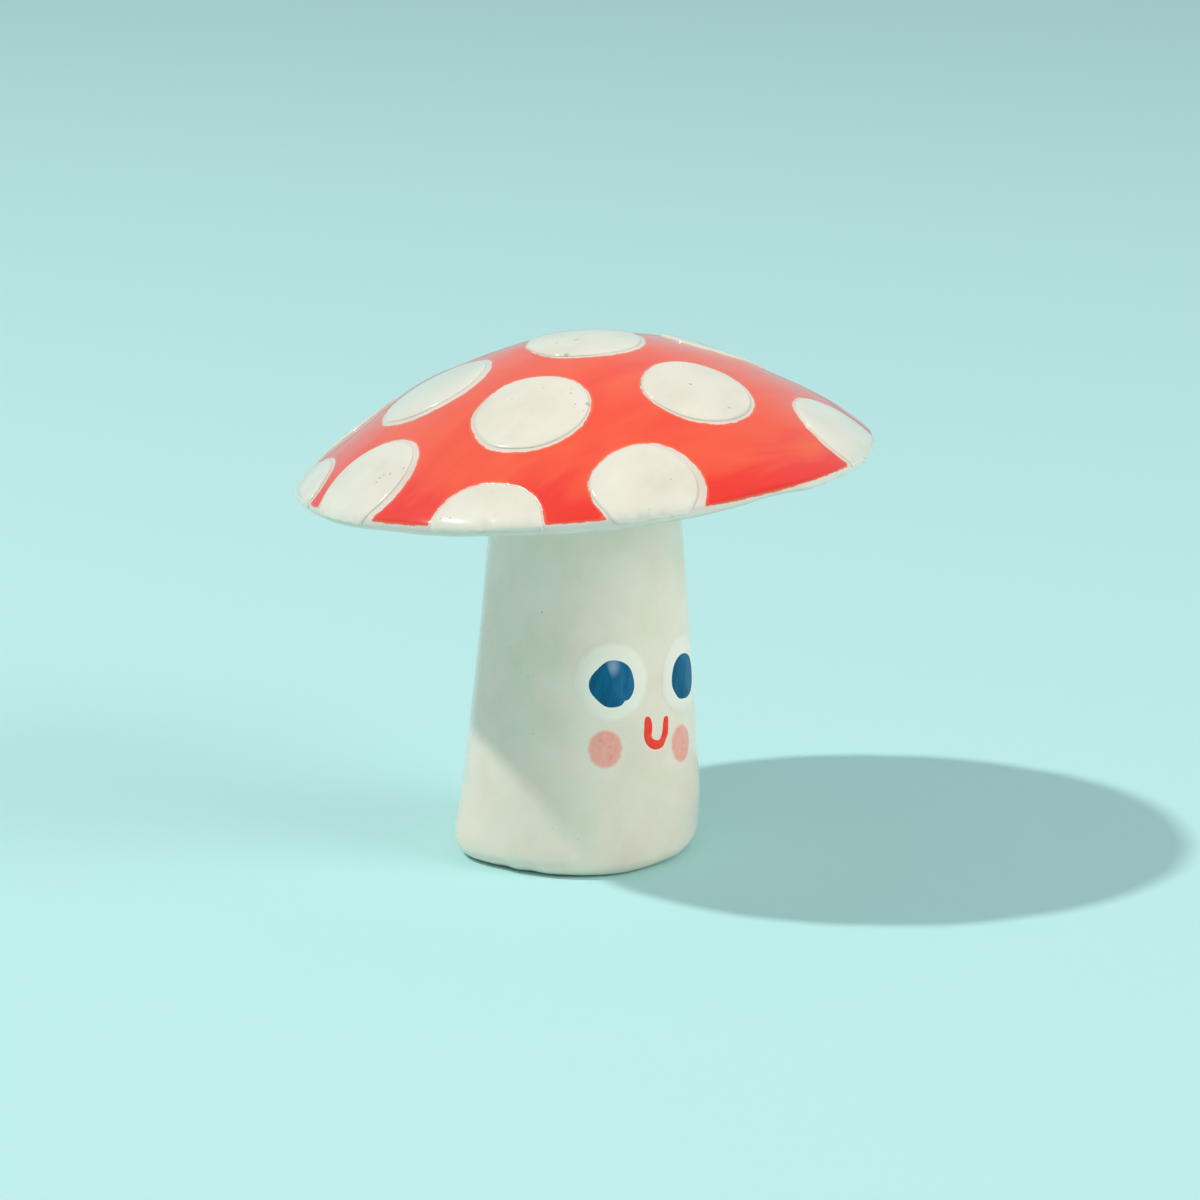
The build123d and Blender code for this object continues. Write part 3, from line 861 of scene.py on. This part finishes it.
def makeIrisBlue():
    # Blue underglaze in two strokes: a full brush on the left, then a drier one on the right; a pale patch at
    # the top of the left eye is a painted highlight, a reflection in the glaze painted into the colour
    material, tree = newMaterial("blueUnderglazeWithPaintedHighlight")
    cut = addNode(tree, "ShaderNodeAttribute", {"attribute_name": "cut"}).outputs["Vector"]
    swept = addNode(tree, "ShaderNodeMapping", {"Rotation": (0, 0, radians(-12)),
                    "Scale": [patternScale(size) for size in patternSize["bristles"]] + [1]}, {"Vector": cut})
    bristles = addNode(tree, "ShaderNodeTexNoise", {"Scale": 1, "Detail": 2},
                       {"Vector": swept.outputs["Vector"]})
    sides = addNode(tree, "ShaderNodeSeparateXYZ", links={"Vector": cut})
    border = addNode(tree, "ShaderNodeMath", {"operation": "MULTIPLY_ADD", 1: 0.3},
                     {0: sides.outputs["Y"], 2: sides.outputs["X"]})
    second = addNode(tree, "ShaderNodeMapRange",
                     {"interpolation_type": "SMOOTHSTEP", "From Min": -0.15 * mm, "From Max": 0.25 * mm},
                     {"Value": border.outputs["Value"]})
    full = rampOf(tree, bristles.outputs["Fac"], [(0.35, "#00527A"), (0.65, "#00628A")])
    dry = rampOf(tree, bristles.outputs["Fac"], [(0.35, "#0C5C88"), (0.65, "#236E98")])
    # Painted highlight: a pale patch at the top of the left iris, fading downwards, stands in for a
    # reflection
    narrow = addNode(tree, "ShaderNodeVectorMath", {"operation": "MULTIPLY", 1: (1.5, 1, 1)}, {0: cut})
    start = addNode(tree, "ShaderNodeVectorMath", {"operation": "DISTANCE", 1: (0.2 * mm, 2.4 * mm, 0)},
                    {0: narrow.outputs["Vector"]})
    paintedHighlightFade = addNode(tree, "ShaderNodeMapRange",
                   {"interpolation_type": "SMOOTHSTEP", "From Min": 0.2 * mm, "From Max": 1.9 * mm,
                    "To Min": 0.7, "To Max": 0}, {"Value": start.outputs["Value"]})
    paintedHighlightTop = addNode(tree, "ShaderNodeMath", {"operation": "MULTIPLY"},
                        {0: paintedHighlightFade.outputs["Result"], 1: second.outputs["Result"]})
    blue = mixColours(tree, second.outputs["Result"], full, dry)
    place = addNode(tree, "ShaderNodeTexCoord").outputs["Object"]
    apart = addNode(tree, "ShaderNodeSeparateXYZ", links={"Vector": place})
    leftEye = addNode(tree, "ShaderNodeMath", {"operation": "LESS_THAN", 1: 0}, {0: apart.outputs["X"]})
    paintedHighlightLeft = addNode(tree, "ShaderNodeMath", {"operation": "MULTIPLY"},
                       {0: paintedHighlightTop.outputs["Value"], 1: leftEye.outputs["Value"]})
    glazed(tree, mixColours(tree, paintedHighlightLeft.outputs["Value"], blue, "#9CAECB"), glazeWaves(tree, place), 0.12)
    return material


def makeMouthRed():
    # Red underglaze in one stroke of a fine brush, a little deeper where it pooled
    material, tree = newMaterial("redUnderglazeStroke")
    place = addNode(tree, "ShaderNodeTexCoord").outputs["Object"]
    pools = addNode(tree, "ShaderNodeTexNoise", {"Scale": patternScale(patternSize["pools"]), "Detail": 2},
                    {"Vector": place})
    red = rampOf(tree, pools.outputs["Fac"], [(0.35, "#FF321C"), (0.65, "#FF4A32")])
    glazed(tree, red, glazeWaves(tree, place), 0.5)
    return material


def makeBareClay():
    # Fired clay that was wiped clean of glaze so that it doesn't stick in the kiln: matt and sandy
    material, tree = newMaterial("bareFiredClay")
    place = addNode(tree, "ShaderNodeTexCoord").outputs["Object"]
    sand = addNode(tree, "ShaderNodeTexNoise", {"Scale": patternScale(patternSize["sand"]), "Detail": 4},
                   {"Vector": place})
    colour = rampOf(tree, sand.outputs["Fac"], [(0.35, "#CDBFAA"), (0.6, "#DDD2BF")])
    bump = addNode(tree, "ShaderNodeBump", {"Strength": 0.6, "Distance": 0.1 * mm},
                   {"Height": sand.outputs["Fac"]})
    shader = addNode(tree, "ShaderNodeBsdfPrincipled", {"Roughness": 0.85, "IOR": 1.5},
                     {"Base Color": colour, "Normal": bump.outputs["Normal"]})
    addNode(tree, "ShaderNodeOutputMaterial", links={"Surface": shader.outputs["BSDF"]})
    return material


def dress(piece, *materials):
    piece.data.materials.clear()
    for material in materials:
        piece.data.materials.append(material)


bareClay = makeBareClay()
dress(capShell, makeRedUnderglaze())
dress(stemSkin, makeStemClay(), bareClay)
for polygon in stemSkin.data.polygons:
    if polygon.center.z < stem["bareUnder"] * mm:
        polygon.material_index = 1
spotClay = makeSpotClay()
whiteSlip = makeWhiteSlip()
irisBlue = makeIrisBlue()
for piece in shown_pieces():
    if piece.name.startswith(("spot0", "spot1")):
        dress(piece, spotClay)
    if piece.name.startswith("eyeWhite"):
        dress(piece, whiteSlip)
    if piece.name.startswith("iris"):
        dress(piece, irisBlue)
dress(mouth, makeMouthRed())
dress(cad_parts["luting_coil"], bareClay)
for piece in (capShell, stemSkin):
    pickOnly(piece)
    bpy.ops.object.shade_smooth_by_angle(angle=radians(sharpAngle))
print("materials made")


# Studio: a pale floor and plain soft lamps, each placed in mm from the point that it looks at
studio = {
    "floor": 6000, "floorColour": "#BEEEF0", "lampAim": (0, 0, 40),
    "keyAway": (-783, 538, 1291), "keyWidth": 75, "keyWatts": 13.7, "keyColour": "#FFFCF6",
    "fillAway": (520, -1066, 520), "fillWidth": 900, "fillWatts": 7.5, "fillColour": "#FFF9F3",
    "roomColour": "#F2F4F2", "roomStrength": 0.465,  # what lights the clay from all round
    "wallColour": "#A9DDE0", "wallStrength": 1.0,  # what is seen behind the floor, and in the gloss
}
bpy.ops.object.select_all(action="DESELECT")
bpy.ops.mesh.primitive_plane_add(size=studio["floor"] * mm, location=(0, 0, 0))
floor = bpy.context.object
floor.name = "floor"
paper, paperTree = newMaterial("paleFloorPaper")
paperShader = addNode(paperTree, "ShaderNodeBsdfPrincipled",
                      {"Base Color": linearOf(studio["floorColour"]), "Roughness": 0.9})
addNode(paperTree, "ShaderNodeOutputMaterial", links={"Surface": paperShader.outputs["BSDF"]})
floor.data.materials.append(paper)


def addLamp(kind):  # a round soft lamp that looks at the ornament
    fromAim = Vector(studio[kind + "Away"])
    bpy.ops.object.light_add(type="AREA", location=(Vector(studio["lampAim"]) + fromAim) * mm)
    lamp = bpy.context.object
    lamp.name = kind + "Lamp"
    lamp.data.shape = "DISK"
    lamp.data.size = studio[kind + "Width"] * mm
    lamp.data.energy = studio[kind + "Watts"]
    lamp.data.color = linearOf(studio[kind + "Colour"])[:3]
    lamp.rotation_mode = "QUATERNION"
    lamp.rotation_quaternion = (-fromAim).to_track_quat("-Z", "Y")
    return lamp


addLamp("key")
fillLamp = addLamp("fill")
fillLamp.visible_glossy = False  # it leaves no glint on the lip
world = bpy.data.worlds.new("paleRoom")
world.use_nodes = True
worldTree = world.node_tree
worldTree.nodes.clear()
rays = addNode(worldTree, "ShaderNodeLightPath")
room, wall = [addNode(worldTree, "ShaderNodeBackground", {"Color": linearOf(studio[part + "Colour"]),
                                                         "Strength": studio[part + "Strength"]})
              for part in ("room", "wall")]
seen = addNode(worldTree, "ShaderNodeMath", {"operation": "MAXIMUM"},
               {0: rays.outputs["Is Camera Ray"], 1: rays.outputs["Is Glossy Ray"]})
both = addNode(worldTree, "ShaderNodeMixShader",
               links={0: seen.outputs["Value"], 1: room.outputs["Background"], 2: wall.outputs["Background"]})
addNode(worldTree, "ShaderNodeOutputWorld", links={"Surface": both.outputs["Shader"]})
scene.world = world
print("studio set")
